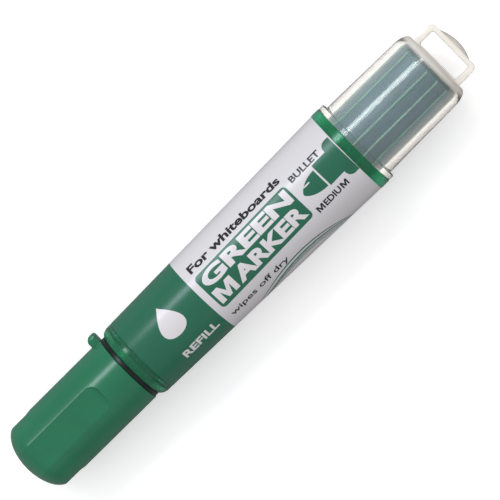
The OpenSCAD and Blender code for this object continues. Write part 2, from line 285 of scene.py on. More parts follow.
label_x0, label_x1 = ends("label_film")
tank_x0, tank_x1 = ends("ink_tank")
band_haze = (label_x0 + 1.0 * MM, label_x0, 0.3)
end_haze = (tank_x1 - 0.7 * MM, tank_x1 + 0.3 * MM, 0.62)
barrel_plastic = clear_plastic("clear_green_polystyrene", "4CCC9A", "3F8C6E", "3A8568", 0.2, band_haze,
                               rough=0.2)
shell_plastic = clear_plastic("clear_polypropylene_cream", "F7F1EA", "FAF5EE", "F6F0E8", 0.03, end_haze,
                              ripple=0.0002 * MM)
print("clear plastics made")

# %% [markdown]
# ## Turned pieces
# Almost every piece of the marker is a solid of revolution, so one function turns an outline of
# (place, radius) points about the axis, and another rounds an outline's corners first. Real
# moulded edges always have a small radius, and it is that radius which catches the light.

# %% Helpers that turn an outline into a mesh
MERGE_DIST = 1e-7  # metres: points closer than this are one
ON_AXIS = 1e-8


def rounded(corners, steps=5):
    """Round each (place, radius, fillet) corner of an outline with a tangent arc."""
    points = []
    count = len(corners)
    for i, (x, r, fillet) in enumerate(corners):
        here = Vector((x, r))
        before = Vector(corners[(i - 1) % count][:2]) - here
        after = Vector(corners[(i + 1) % count][:2]) - here
        if fillet == 0 or before.length == 0 or after.length == 0:
            points.append((x, r))
            continue
        half = before.angle(after) / 2
        reach = fillet / math.tan(half)
        centre = here + (before.normalized() + after.normalized()).normalized() * fillet / math.sin(half)
        start = here + before.normalized() * reach - centre
        turn = start.angle_signed(here + after.normalized() * reach - centre)
        for k in range(steps + 1):
            spoke = start.copy()
            spoke.rotate(Matrix.Rotation(-turn * k / steps, 2))
            points.append(tuple(centre + spoke))
    return points


def finish_mesh(name, bm, material, sharp=35):
    """Turn bmesh geometry into a smooth-shaded object; edges sharper than so many degrees stay crisp."""
    bmesh.ops.remove_doubles(bm, verts=bm.verts, dist=MERGE_DIST)
    bmesh.ops.recalc_face_normals(bm, faces=bm.faces)
    mesh = bpy.data.meshes.new(name)
    bm.to_mesh(mesh)
    bm.free()
    mesh.shade_smooth()
    mesh.set_sharp_from_angle(angle=math.radians(sharp))
    mesh.materials.append(material)
    piece = bpy.data.objects.new(name, mesh)
    bpy.context.scene.collection.objects.link(piece)
    return piece


def turn_outline(bm, outline, turns, shape=None):
    """Add the turned outline to bm. shape(x, radius, angle) may change the radius as it goes round."""
    rings = []
    for x, r in outline:
        if r < ON_AXIS:
            rings.append([bm.verts.new((x, 0, AXIS_Z))] * turns)
            continue
        ring = []
        for k in range(turns):
            angle = math.tau * k / turns
            reach = shape(x, r, angle) if shape else r
            ring.append(bm.verts.new((x, reach * math.sin(angle), AXIS_Z + reach * math.cos(angle))))
        rings.append(ring)
    closed = outline[0][1] > ON_AXIS
    for one, two in zip(rings, rings[1:] + (rings[:1] if closed else [])):
        for k in range(turns):
            m = (k + 1) % turns
            corners = list(dict.fromkeys((one[k], one[m], two[m], two[k])))
            if len(corners) > 2:
                bm.faces.new(corners)


def turned(name, outline, material, turns=192, shape=None):
    """A turned piece as an object of its own."""
    bm = bmesh.new()
    turn_outline(bm, outline, turns, shape)
    return finish_mesh(name, bm, material)


def place_on(piece, body, slot, *replaced):
    """Attach a finished piece to what it rides on and hide the CAD nodes that it stands for. slot, the name
    of its finish, is not used.
    """
    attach(piece, body)
    if replaced:
        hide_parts(*replaced)
    triangles = sum(len(face.vertices) - 2 for face in piece.data.polygons)
    print("%-18s rides on %-12s %6d triangles" % (piece.name, body, triangles))


bend = rounded([(0, 0, 0), (1, 0, 0.2), (1, 1, 0)])
print("a corner rounded in five steps has", len(bend) - 2, "points")


# %% [markdown]
# ## Cap
# The cap is one moulding with a domed end. Two long flats give finger and thumb a hold, and each
# ends in a round-cornered step near the rim; two short, shallow flats lie between them. A small lug
# at the rim stops the marker rolling. The flats could be cut with booleans, but pressing them into
# the turned mesh by formula keeps clean quads and lets the step's edge be softened.

# %% Shape the cap
cap_x, rim_x = ends("cap_shell")
DOME = 4.4 * MM
CAP_END_R, CAP_RIM_R = 8.0 * MM, 8.05 * MM
SEAT_BORE_R = 7.05 * MM
HOLLOW_R, END_WALL, HOLLOW_BEVEL = 6.3 * MM, 1.9 * MM, 1.5 * MM
SEAT = 6.0 * MM
SKIN_MARGIN = 0.01 * MM  # keeps the walls of the hollow out of the flats' reach
SOFT_EDGE = 0.16 * MM
DOME_FADE = 3.6 * MM  # how far towards the tip a finger flat takes to die out
FINGER_FLAT = (7.4 * MM, 22.2 * MM, 3.06 * MM, 2.3 * MM)  # distance, length, half width, corner
SIDE_FLAT = (7.8 * MM, 8.4 * MM, 2.0 * MM, 2.0 * MM)
FLAT_SECTOR = 1.0  # radians to each side of a flat's middle that it could touch
FLATS = [(turn * math.pi / 2, SIDE_FLAT if turn % 2 else FINGER_FLAT) for turn in range(4)]


def press_flats(x, r, angle):
    """Push the cap's skin in to the flats, inside each flat's round-cornered outline.

    On the dome a finger flat keeps its width, so its edges run on nearly to the tip.
    """
    hollow = SEAT_BORE_R + SKIN_MARGIN if x > cap_x + DOME else HOLLOW_R + 10 * SKIN_MARGIN
    if x > cap_x + END_WALL - SKIN_MARGIN and r < hollow:
        return r
    reach = r
    for direction, (distance, length, half, corner) in FLATS:
        turn = math.remainder(angle - direction, math.tau)
        if abs(turn) > FLAT_SECTOR:
            continue
        pressed = distance / math.cos(turn)
        chord = math.sqrt(CAP_END_R ** 2 - distance ** 2)
        if half > SIDE_FLAT[2] and chord < r < CAP_END_R:
            pressed = math.sqrt(r * r - chord * chord) / math.cos(turn)
            pressed += (r - pressed) * max(0, 1 - (r - chord) / DOME_FADE)
        if pressed >= r:
            continue
        past_x = x - cap_x - (length - corner)
        past_y = r * abs(math.sin(turn)) - (half - corner)
        beyond = math.hypot(max(0, past_x), max(0, past_y)) + min(0, max(past_x, past_y)) - corner
        share = min(1, max(0, 0.5 - beyond / SOFT_EDGE))
        share = share * share * (3 - 2 * share)
        reach = min(reach, r + (pressed - r) * share)
    return reach


print("a finger flat is %.2f mm below the skin" % ((CAP_END_R - FINGER_FLAT[0]) / MM))

# %% Make the cap's skin and its hollow
STEPS_FROM, STEPS_TO = 19 * MM, 22.6 * MM  # where the finger flats end, so the rings lie closer there
RIM_ROUND = 0.3 * MM


def cap_outline():
    """Dome, side, rim and hollow, from the outside pole round to the inside pole."""
    dome = [(cap_x + DOME * (1 - math.cos(a)), CAP_END_R * math.sin(a))
            for a in np.linspace(0, math.pi / 2, 40)]
    length = rim_x - cap_x
    places = np.concatenate([np.linspace(DOME, STEPS_FROM, 44)[1:], np.linspace(STEPS_FROM, STEPS_TO, 56)[1:],
                             np.linspace(STEPS_TO, length - RIM_ROUND, 12)[1:]])
    side = [(cap_x + x, CAP_END_R + (CAP_RIM_R - CAP_END_R) * (x - DOME) / (length - DOME))
            for x in places]
    rim = rounded([(side[-1][0], side[-1][1], 0),
                   (rim_x, CAP_RIM_R, 0.22 * MM), (rim_x, SEAT_BORE_R, 0.15 * MM),
                   (rim_x - SEAT, SEAT_BORE_R, 0), (rim_x - SEAT - RIM_ROUND, HOLLOW_R, 0),
                   (cap_x + END_WALL + HOLLOW_BEVEL, HOLLOW_R, 0),
                   (cap_x + END_WALL, HOLLOW_R - HOLLOW_BEVEL, 0), (cap_x + END_WALL, 0, 0)])
    return dome + side + rim[1:]


skin = turned("cap_skin", cap_outline(), cap_plastic, 360, press_flats)
print("the cap's skin has", len(skin.data.polygons), "faces")

# %% Make the lug and join it to the cap
LUG_WIDE, LUG_LONG = 2.1 * MM, 5.0 * MM  # along the cap, and round it
LUG_TIP_R, LUG_RIM_R = 1.1 * MM, 0.25 * MM  # soft towards the cap's tip, crisp at its rim
LUG_ROOT = 0.8 * MM  # how deep it is sunk in the cap's wall
LUG_END_R, LUG_END_IN = 0.35 * MM, 0.3 * MM  # how its two ends are softened


def add_lug(bm):
    """The anti-roll lug: a small block at the rim with softened corners, as high as the CAD lug."""
    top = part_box("cap_shell")[1].y
    x0, x1 = rim_x - LUG_WIDE, rim_x
    root = CAP_RIM_R - LUG_ROOT
    outline = rounded([(x0, root, 0), (x0, top, LUG_TIP_R), (x1, top, LUG_RIM_R), (x1, root, 0)], 6)
    slices = []
    for share in np.linspace(-1, 1, 17):
        z = share * LUG_LONG / 2
        edge = max(0.0, abs(share) * LUG_LONG / 2 - (LUG_LONG / 2 - LUG_END_R)) / LUG_END_R
        inset = LUG_END_IN * (1 - math.sqrt(max(0.0, 1 - edge * edge)))
        drop = top - math.sqrt(top * top - z * z)
        ring = []
        for x, y in outline:
            lift = (y - root) / (top - root)
            ring.append(bm.verts.new((min(max(x, x0 + inset), x1 - inset * 0.5),
                                      y - (drop + inset) * lift, AXIS_Z + z)))
        slices.append(ring)
    for one, two in zip(slices, slices[1:]):
        for k in range(len(one)):
            m = (k + 1) % len(one)
            bm.faces.new((one[k], one[m], two[m], two[k]))
    bm.faces.new(slices[0])
    bm.faces.new(slices[-1])


def merged(name, parts, material, sharp):
    """Union closed meshes into one skin with an exact boolean."""
    base, *others = parts
    for other in others:
        cut = base.modifiers.new("join", "BOOLEAN")
        cut.operation, cut.solver, cut.object = "UNION", "EXACT", other
    depsgraph = bpy.context.evaluated_depsgraph_get()
    mesh = bpy.data.meshes.new_from_object(base.evaluated_get(depsgraph), depsgraph=depsgraph)
    for part in parts:
        bpy.data.objects.remove(part)
    bm = bmesh.new()
    bm.from_mesh(mesh)
    return finish_mesh(name, bm, material, sharp)


lug_mesh = bmesh.new()
add_lug(lug_mesh)
lug = finish_mesh("cap_lug", lug_mesh, cap_plastic)
cap = merged("cap", [skin, lug], cap_plastic, 50)
place_on(cap, "cap", "cap_green", "cap_shell")

# %% [markdown]
# ## Nib and nose
# The bullet nib is turned from bonded fibre, and the black nose that holds it is one moulding:
# neck, shoulder, the seat for the cap, and a thin flange which shows as the dark ring between the
# cap and the barrel.

# %% Make the nib and the nose
nib_x0, nib_x1 = ends("nib")
NIB_R = radius_of("nib")
NIB_POINT = 3.4 * MM
NIB_TAIL, NIB_TAIL_R = 3.7 * MM, NIB_R - 0.9 * MM
nib_outline = [(nib_x0 + NIB_POINT * (1 - math.cos(a)), NIB_R * math.sin(a))
               for a in np.linspace(0, math.pi / 2, 28)]
nib_outline += [(x, NIB_R) for x in np.linspace(nib_x0 + NIB_POINT, nib_x1 - NIB_TAIL, 24)[1:]]
nib_outline += [(nib_x1 - NIB_TAIL, NIB_TAIL_R), (nib_x1, NIB_TAIL_R), (nib_x1, 0)]
nib = turned("nib_bullet", nib_outline, nib_fibre, 128)
place_on(nib, "marker_body", "nib_fibre", "nib")

nose_x0, nose_x1 = ends("nib_holder")
FLANGE_R = radius_of("nib_holder")
SEAT_R, SHOULDER_R, NECK_R, PLUG_R = 7.0 * MM, 5.6 * MM, 3.6 * MM, 5.9 * MM
PLUG_EDGE = 0.95 * MM  # the round where the plug meets the flange
NOSE_NECK, NOSE_RISE = 4.2 * MM, 0.2 * MM
CHAMBER_R = 4.2 * MM
SEAT_GAP, RIM_GAP, NIB_SEAT = 0.1 * MM, 0.05 * MM, 2.5 * MM
barrel_x0, barrel_x1 = ends("barrel")
seat_x = rim_x - SEAT + SEAT_GAP
flange_x = rim_x + RIM_GAP
nib_seat_x = nib_x1 - NIB_TAIL + NIB_SEAT
nose_outline = rounded([
    (nose_x0, NIB_R, 0), (nose_x0, NECK_R, 0.4 * MM), (nose_x0 + NOSE_NECK, NECK_R, 0.25 * MM),
    (nose_x0 + NOSE_NECK + NOSE_RISE, SHOULDER_R, 1.6 * MM), (seat_x, SHOULDER_R, 0.3 * MM),
    (seat_x, SEAT_R, 0.5 * MM), (flange_x, SEAT_R, 0), (flange_x, FLANGE_R, 0.1 * MM),
    (barrel_x0, FLANGE_R, 0.1 * MM), (barrel_x0, PLUG_R, PLUG_EDGE), (nose_x1, PLUG_R, 0),
    (nose_x1, CHAMBER_R, 0), (nib_seat_x, CHAMBER_R, 0), (nib_seat_x, NIB_R, 0)], 6)
nose = turned("nose", nose_outline, nose_plastic, 160)
place_on(nose, "marker_body", "holder_black", "nib_holder")

# %% [markdown]
# ## Barrel
# The barrel is a clear green tube. The label hides most of it: it shows as a band in front of the
# label, where the nose and the feed can be seen through it, and as the bead round its mouth.

# %% Make the barrel
BEAD_R = radius_of("barrel") - 0.002 * MM  # a hair inside the CAD box
LABEL_R = radius_of("label_film")
BARREL_FRONT_R = 8.8 * MM
FRONT_DEPTH, FRONT_WIDTH = 2.05 * MM, 1.45 * MM  # how its round front edge runs along and in
LABEL_T = 0.1 * MM
TANK_BORE_R, MOUTH_R = 7.75 * MM, 8.8 * MM
MOUTH_GAP = 0.3 * MM  # room in front of the cartridge's spigot
BORE_SLOPE = 1.0 * MM
block_x1 = ends("pipe_block")[1]
shell_x0, tab_x1 = ends("cartridge_shell")


def barrel_radius(x):
    """Radius of the barrel with its label on, at a place along the axis: the barrel is a slim cone."""
    start = barrel_x0 + FRONT_DEPTH
    return BARREL_FRONT_R + (LABEL_R - BARREL_FRONT_R) * (x - start) / (label_x1 - start)


front = [(barrel_x0 + FRONT_DEPTH * (1 - math.cos(a)), BARREL_FRONT_R - FRONT_WIDTH * (1 - math.sin(a)))
         for a in np.linspace(0, math.pi / 2, 14)]
barrel_outline = front + rounded([
    (label_x0, barrel_radius(label_x0), 0.03 * MM), (label_x0, barrel_radius(label_x0) - LABEL_T, 0),
    (label_x1, LABEL_R - LABEL_T, 0), (label_x1, BEAD_R, 0.2 * MM), (barrel_x1, BEAD_R, 0.2 * MM),
    (barrel_x1, MOUTH_R, 0.1 * MM), (shell_x0 - MOUTH_GAP, MOUTH_R, 0),
    (shell_x0 - MOUTH_GAP, TANK_BORE_R, 0), (block_x1 + BORE_SLOPE, TANK_BORE_R, 0),
    (block_x1, PLUG_R, 0), (barrel_x0, PLUG_R, PLUG_EDGE)], 5)
barrel = turned("barrel_tube", barrel_outline, barrel_plastic)
place_on(barrel, "marker_body", "barrel_clear_green", "barrel")

# %% [markdown]
# ## Label
# A printed film wraps the barrel: a green band in front and white behind. The film is a thin
# turned shell, and its two grounds are set by the place along the axis.

# %% Make the label's film
GREEN_END = 17.17 * MM  # length of the green ground
PRINT_TILT = 0.028  # radians: a straight film can't lie square on a cone, so its print leans a little


def printed_film(name, border_x):
    """White coated film printed green up to border_x: smooth, with the press's faint mottle.

    The mottle is three patches to the millimetre; it only just shows as a slight unevenness.
    """
    material, tree, output, place = start_material(name)
    spot = add(tree, "ShaderNodeSeparateXYZ", {0: place}).outputs
    lean = add(tree, "ShaderNodeMath", {0: spot["Y"], 1: PRINT_TILT, 2: spot["X"]},
               operation="MULTIPLY_ADD")
    mottle = speckle(tree, place, 3.0, 3.0).outputs["Fac"]
    white = shade(tree, mottle, linear("D0CDD0"), linear("CECBCE"))
    green = shade(tree, mottle, linear("2A6A52"), linear("27644D"))
    behind = add(tree, "ShaderNodeMath", {0: lean.outputs[0], 1: border_x},
                 operation="GREATER_THAN").outputs[0]
    skin = add(tree, "ShaderNodeBsdfPrincipled", {
        "Base Color": shade(tree, behind, green, white),
        "Roughness": spread(tree, mottle, 0.24, 0.27),
        "IOR": 1.5,
    })
    tree.links.new(skin.outputs[0], output.inputs[0])
    return material


film_print = printed_film("printed_polypropylene_film", label_x0 + GREEN_END)
film_outline = rounded([
    (label_x0, barrel_radius(label_x0) - LABEL_T, 0), (label_x0, barrel_radius(label_x0), 0.04 * MM),
    (label_x1, LABEL_R, 0.04 * MM), (label_x1, LABEL_R - LABEL_T, 0)], 3)
film = turned("label_wrap", film_outline, film_print, 256)
place_on(film, "marker_body", "label_print", "label_film")


# %% [markdown]
# ## Print on the label
# Each printed shape is laid out flat first, in millimetres along the barrel and round it, then cut
# into narrow strips and short runs and wrapped onto the cone. A shape wrapped whole would sink into
# the curve between its corners. The words are plain generic ones, and the symbol on the green band
# is a plain drop of ink.

# %% Wrap flat shapes onto the cone
INK_LIFT, INK_SINK = 0.02 * MM, 0.004 * MM  # how far print stands out of the film, and how far in
STRIP, RUN = 0.5 * MM, 2.0 * MM  # how wide round the barrel, and how long, a piece of print may be


def wrap_print(name, flats, material, lift=INK_LIFT):
    """Wrap flat closed shapes onto the label. A flat is (mesh, along, round): its place in metres."""
    bm = bmesh.new()
    for mesh, at_x, at_t in flats:
        piece = bmesh.new()
        piece.from_mesh(mesh)
        bmesh.ops.translate(piece, verts=piece.verts, vec=(at_x, at_t, 0))
        for axis, pitch in ((1, STRIP), (0, RUN)):
            low = min(v.co[axis] for v in piece.verts)
            high = max(v.co[axis] for v in piece.verts)
            across = Vector((axis == 0, axis == 1, 0))
            for k in range(1, int((high - low) / pitch) + 1):
                bmesh.ops.bisect_plane(piece, geom=piece.verts[:] + piece.edges[:] + piece.faces[:],
                                       plane_co=across * (low + k * pitch), plane_no=across, dist=1e-9)
        for v in piece.verts:
            x = label_x0 + v.co.x - PRINT_TILT * v.co.y
            base = barrel_radius(x)
            angle = (v.co.y + PRINT_TILT * (v.co.x - GREEN_END)) / base
            reach = base + (lift if v.co.z > 0 else -INK_SINK)
            v.co = Vector((x, reach * math.sin(angle), AXIS_Z + reach * math.cos(angle)))
        scratch = bpy.data.meshes.new("scratch")
        piece.to_mesh(scratch)
        piece.free()
        bm.from_mesh(scratch)
        bpy.data.meshes.remove(scratch)
    print(name, "has", len(bm.faces), "faces")
    return finish_mesh(name, bm, material, 30)


print("print is cut every %.1f mm round the barrel and every %.1f mm along it" % (STRIP / MM, RUN / MM))


# %% Helpers for flat shapes and letters
def flat_curve(outlines, thick=0.02 * MM):
    """Fill closed outlines, given in metres, as a thin flat solid. An inner outline is a hole."""
    curve = bpy.data.curves.new("shape", "CURVE")
    curve.dimensions = "2D"
    curve.fill_mode = "BOTH"
    curve.extrude = thick / 2
    for points in outlines:
        spline = curve.splines.new("POLY")
        spline.points.add(len(points) - 1)
        for point, (x, y) in zip(spline.points, points):
            point.co = (x, y, 0, 1)
        spline.use_cyclic_u = True
    return as_mesh(curve)


def as_mesh(curve):
    """The mesh that a curve or text makes."""
    holder = bpy.data.objects.new("holder", curve)
    bpy.context.scene.collection.objects.link(holder)
    depsgraph = bpy.context.evaluated_depsgraph_get()
    mesh = bpy.data.meshes.new_from_object(holder.evaluated_get(depsgraph), depsgraph=depsgraph)
    bpy.data.objects.remove(holder)
    return mesh


def words(text, width, height, weight):
    """A line of text about the origin, made bolder by a weight and stretched to a size in metres."""
    curve = bpy.data.curves.new("words", "FONT")
    curve.body = text
    curve.size = 1.0
    curve.resolution_u = 5
    curve.offset = weight
    curve.extrude = 0.01
    mesh = as_mesh(curve)
    xs = [v.co.x for v in mesh.vertices]
    ys = [v.co.y for v in mesh.vertices]
    size_x, size_y = max(xs) - min(xs), max(ys) - min(ys)
    for v in mesh.vertices:
        v.co.x = ((v.co.x - min(xs)) / size_x - 0.5) * width
        v.co.y = ((v.co.y - min(ys)) / size_y - 0.5) * height
        v.co.z *= MM  # a depth of 0.01 becomes 0.01 mm
    return mesh


def letter_m(width, height, stroke=0.24):
    """A bold M of its own, because the font's M fills up when its strokes are widened."""
    half = [(0, 0), (0, 1), (stroke * 1.25, 1), (0.5, 0.46)]
    foot = [(0.5 + stroke * 0.36, 0.04), (0.5 - stroke * 0.36, 0.04), (stroke, 0.66), (stroke, 0)]
    points = half + [(1 - stroke * 1.25, 1), (1, 1), (1, 0), (1 - stroke, 0), (1 - stroke, 0.66)] + foot
    return flat_curve([[((x - 0.5) * width, (y - 0.5) * height) for x, y in points]])


def circle_points(x, y, r, start, stop, count):
    """Points on an arc."""
    return [(x + r * math.cos(a), y + r * math.sin(a)) for a in np.linspace(start, stop, count)]


def rounded_box(half_x, half_y, r):
    """The outline of a box with round corners about the origin."""
    points = []
    for sx, sy, start in ((1, 1, 0), (-1, 1, 1), (-1, -1, 2), (1, -1, 3)):
        a = start * math.pi / 2
        points += circle_points(sx * (half_x - r), sy * (half_y - r), r, a, a + math.pi / 2, 8)
    return points


print("a box with round corners has", len(rounded_box(2, 1, 0.5)), "points")


# %% Materials of the printing inks
def printing_ink(name, colour, cloud):
    """A printed ink film: a few hundredths of a millimetre proud, with the press's faint mottle."""
    return moulded(name, colour, cloud, rough=(0.24, 0.30), grain=6.0, depth=0.0008 * MM)


print_green = printing_ink("printing_ink_green", "2A6A52", "27644D")
print_white = printing_ink("printing_ink_white", "D6D2D5", "D2CED1")
print_black = printing_ink("printing_ink_black", "2A2B30", "2F3035")
print("three printing inks made")

# %% Lay out the white symbol and words
PANEL_LIFT, WHITE_LIFT = 0.012 * MM, 0.035 * MM  # the white lies over the green panel


def drop_points(wide, tall, count=48):
    """A drop of ink: a circle drawn out to a point, by a power of a sine."""
    return [(0.5 * wide * 1.3 * math.sin(a) * abs(math.sin(a / 2)) ** 1.4, 0.5 * tall * math.cos(a))
            for a in np.linspace(0, math.tau, count, endpoint=False)]


def ellipse_points(half_x, half_y, count=20):
    """Points round an ellipse."""
    return [(half_x * math.cos(a), half_y * math.sin(a))
            for a in np.linspace(0, math.tau, count, endpoint=False)]


white_print = wrap_print("print_white", [
    (flat_curve([drop_points(6.2 * MM, 7.4 * MM)]), 9.3 * MM, 1.3 * MM),
    (flat_curve([ellipse_points(0.9 * MM, 0.16 * MM)]), 47.9 * MM, 0.05 * MM),
    (words("REFILL", 9.4 * MM, 1.9 * MM, 0.03), 11.0 * MM, -6.6 * MM),
    (words("GREEN", 24.6 * MM, 3.35 * MM, 0.045), 31.8 * MM, 1.3 * MM),
    (letter_m(5.0 * MM, 3.4 * MM), 21.8 * MM, -2.75 * MM),
    (words("ARKER", 19.2 * MM, 3.4 * MM, 0.045), 34.5 * MM, -2.75 * MM),
], print_white, WHITE_LIFT)
place_on(white_print, "marker_body", "label_print")

# %% Lay out the green panel and the picture of the nib
BULLET_LONG, BULLET_HALF, BULLET_POINT = 4.8 * MM, 2.15 * MM, 1.35  # a power over 1 makes it pointed
NECK_LONG, NECK_HALF = 3.8 * MM, 2.75 * MM
SHOULDER_LONG, SHOULDER_HALF, SHOULDER_CORNER = 2.5 * MM, 4.6 * MM, 1.5 * MM
panel = flat_curve([rounded_box(13.0 * MM, 4.4 * MM, 1.0 * MM)])
half = [(BULLET_LONG * (1 - math.cos(a)), BULLET_HALF * math.sin(a) ** BULLET_POINT)
        for a in np.linspace(0, math.pi / 2, 18)]
bullet = flat_curve([half + [(x, -y) for x, y in reversed(half[1:])]])
half = [(0, NECK_HALF), (NECK_LONG, NECK_HALF)]
half += circle_points(NECK_LONG + SHOULDER_CORNER, SHOULDER_HALF - SHOULDER_CORNER, SHOULDER_CORNER,
                      math.pi, math.pi / 2, 8)
half += [(NECK_LONG + SHOULDER_LONG, SHOULDER_HALF)]
holder = flat_curve([half + [(x, -y) for x, y in reversed(half)]])
print("the picture of the nib is %.1f mm long" % (BULLET_LONG / MM))

# %% Add the thin bows and wrap the green print
FINE_BOWS, BOW_PITCH = 4, 0.3 * MM


def bow(half_x, half_y, thick=0.13 * MM):
    """A thin bow that swells in its middle."""
    turn = np.linspace(0.06 * math.pi, 0.94 * math.pi, 60)
    rim = [(half_x * math.cos(a), half_y * math.sin(a) + thick * (0.4 + math.sin(a))) for a in turn]
    return flat_curve([rim + [(half_x * math.cos(a), half_y * math.sin(a) - thick * (0.4 + math.sin(a)))
                              for a in turn[::-1]]])


fine_bows = [(bow(12.6 * MM - k * BOW_PITCH, 6.35 * MM - k * BOW_PITCH, 0.045 * MM),
              (37.2 - 0.25 * k) * MM, -16.9 * MM) for k in range(FINE_BOWS)]
green_print = wrap_print("print_green", [
    (panel, 31.7 * MM, -0.95 * MM),
    (bullet, 46.1 * MM, -1.0 * MM),
    (holder, 51.3 * MM, -0.75 * MM),
    (bow(13.6 * MM, 7.6 * MM), 36.6 * MM, -16.8 * MM),
    (bow(12.8 * MM, 6.7 * MM), 37.2 * MM, -16.9 * MM),
    *fine_bows,
], print_green, PANEL_LIFT)
place_on(green_print, "marker_body", "label_print")

# %% Lay out the dark words
black_print = wrap_print("print_black", [
    (words("For whiteboards", 25.7 * MM, 2.0 * MM, 0.034), 31.9 * MM, 5.45 * MM),
    (words("wipes off dry", 16.0 * MM, 1.9 * MM, 0.015), 26.8 * MM, -8.1 * MM),
    (words("BULLET", 8.1 * MM, 1.45 * MM, 0.03), 50.2 * MM, 3.1 * MM),
    (words("EDIU", 4.4 * MM, 1.45 * MM, 0.03), 49.95 * MM, -5.3 * MM),
    (letter_m(1.7 * MM, 1.45 * MM, 0.2), 46.6 * MM, -5.3 * MM),
    (letter_m(1.7 * MM, 1.45 * MM, 0.2), 53.35 * MM, -5.3 * MM),
], print_black)
place_on(black_print, "marker_body", "label_print")

# %% [markdown]
# ## Cartridge shell
# The shell is clear, slightly cream polypropylene: a spigot that plugs into the barrel, a flange,
# a tapered body with a soft end, and the pull tab on its end wall. The tab is a flat outline with
# a window, filled and bevelled as a curve, then bent so that its bar is crowned both ways.

# %% Make the shell's body
FLANGE_CART_R = radius_of("cartridge_shell")
FLANGE_W = 1.2 * MM
flange_x1 = barrel_x1 + FLANGE_W
SHELL_FRONT_R, SHELL_END_R, SPIGOT_R = 9.05 * MM, 8.77 * MM, 8.75 * MM
SHELL_BORE_R = radius_of("ink_tank") + 0.05 * MM
END_WALL_T = 1.1 * MM
END_LONG, END_IN = 3.4 * MM, 1.6 * MM  # how the soft end runs along and in
shell_x1 = tank_x1 + END_WALL_T
shell_side = rounded([
    (shell_x0, SHELL_BORE_R, 0.1 * MM), (shell_x0, SPIGOT_R, 0.3 * MM), (barrel_x1, SPIGOT_R, 0),
    (barrel_x1, FLANGE_CART_R, 0.12 * MM), (flange_x1, FLANGE_CART_R, 0.15 * MM),
    (flange_x1, SHELL_FRONT_R, 0.15 * MM), (shell_x1 - END_LONG, SHELL_END_R, 0)], 5)
shell_end = [(shell_x1 - END_LONG * (1 - math.sin(a)), SHELL_END_R - END_IN * (1 - math.cos(a)))
             for a in np.linspace(0, math.pi / 2, 14)][1:]
shell_outline = [(shell_x1, 0)] + shell_end[::-1] + shell_side[::-1] + [(tank_x1, SHELL_BORE_R), (tank_x1, 0)]
shell_body = turned("shell_body", shell_outline, shell_plastic)
print("the shell's body is %.1f mm long" % ((shell_x1 - shell_x0) / MM))

# %% Make the tab and join it to the shell
TAB_HALF, TAB_DEEP = 6.4 * MM, 4.0 * MM  # half its width, and half its depth
TAB_BAR, TAB_POST = 1.1 * MM, 1.3 * MM
TAB_EDGE, TAB_CORNER, WINDOW_CORNER = 0.3 * MM, 1.2 * MM, 0.45 * MM
TAB_CROWN, CROWN_HALF = 1.0 * MM, 4.2 * MM
WINDOW_GAP = 0.3 * MM  # between the end wall and the window
tab_root = shell_x1 - 0.6 * MM
bar_x1 = tab_x1 - TAB_CROWN
bend_x = bar_x1 - 0.6 * TAB_BAR  # the bar is crowned from here outwards


def tab_points():
    """The outlines of the tab and of its window, seen from the tab's face."""
    outer = [(tab_root, -TAB_HALF)]
    outer += circle_points(bar_x1 - TAB_CORNER, TAB_CORNER - TAB_HALF, TAB_CORNER, -math.pi / 2, 0, 8)
    outer += [(bar_x1, y) for y in np.linspace(-CROWN_HALF, CROWN_HALF, 25)]
    outer += circle_points(bar_x1 - TAB_CORNER, TAB_HALF - TAB_CORNER, TAB_CORNER, 0, math.pi / 2, 8)
    outer += [(tab_root, TAB_HALF)]
    middle = (shell_x1 + WINDOW_GAP + bar_x1 - TAB_BAR) / 2
    half_x = (bar_x1 - TAB_BAR - shell_x1 - WINDOW_GAP) / 2
    window = [(middle + x, y) for x, y in rounded_box(half_x, TAB_HALF - TAB_POST, WINDOW_CORNER)]
    return outer, window


def make_tab():
    """Fill the outline with its window, bevel its edges and crown the bar."""
    curve = bpy.data.curves.new("tab", "CURVE")
    curve.dimensions = "2D"
    curve.fill_mode = "BOTH"
    curve.extrude = TAB_DEEP - TAB_EDGE
    curve.bevel_depth = TAB_EDGE
    curve.bevel_resolution = 3
    curve.offset = -TAB_EDGE
    for points in tab_points():
        spline = curve.splines.new("POLY")
        spline.points.add(len(points) - 1)
        for point, (x, y) in zip(spline.points, points):
            point.co = (x, y, 0, 1)
        spline.use_cyclic_u = True
    mesh = as_mesh(curve)
    bm = bmesh.new()
    bm.from_mesh(mesh)
    for share in (-0.8, -0.55, -0.25, 0, 0.25, 0.55, 0.8):
        bmesh.ops.bisect_plane(bm, geom=bm.verts[:] + bm.edges[:] + bm.faces[:],
                               plane_co=(0, 0, share * TAB_DEEP), plane_no=(0, 0, 1), dist=ON_AXIS)
    for v in bm.verts:
        if v.co.x > bend_x:
            rise = (v.co.x - bend_x) / (bar_x1 - bend_x)
            across = max(0, 1 - (v.co.y / CROWN_HALF) ** 2)
            deep = 1 - (v.co.z / TAB_DEEP) ** 2
            v.co.x += TAB_CROWN * rise * across * deep
        v.co.z += AXIS_Z
    return finish_mesh("tab", bm, shell_plastic)


shell = merged("cartridge_case", [shell_body, make_tab()], shell_plastic, 40)
place_on(shell, "cartridge", "shell_clear", "cartridge_shell")

# %% [markdown]
# ## Ink tank
# The tank is a thin bottle with sixteen fine ribs along it. The ribs repeat round the axis, so
# Geometry Nodes make them: one bar is made once and set as instances at even angles.

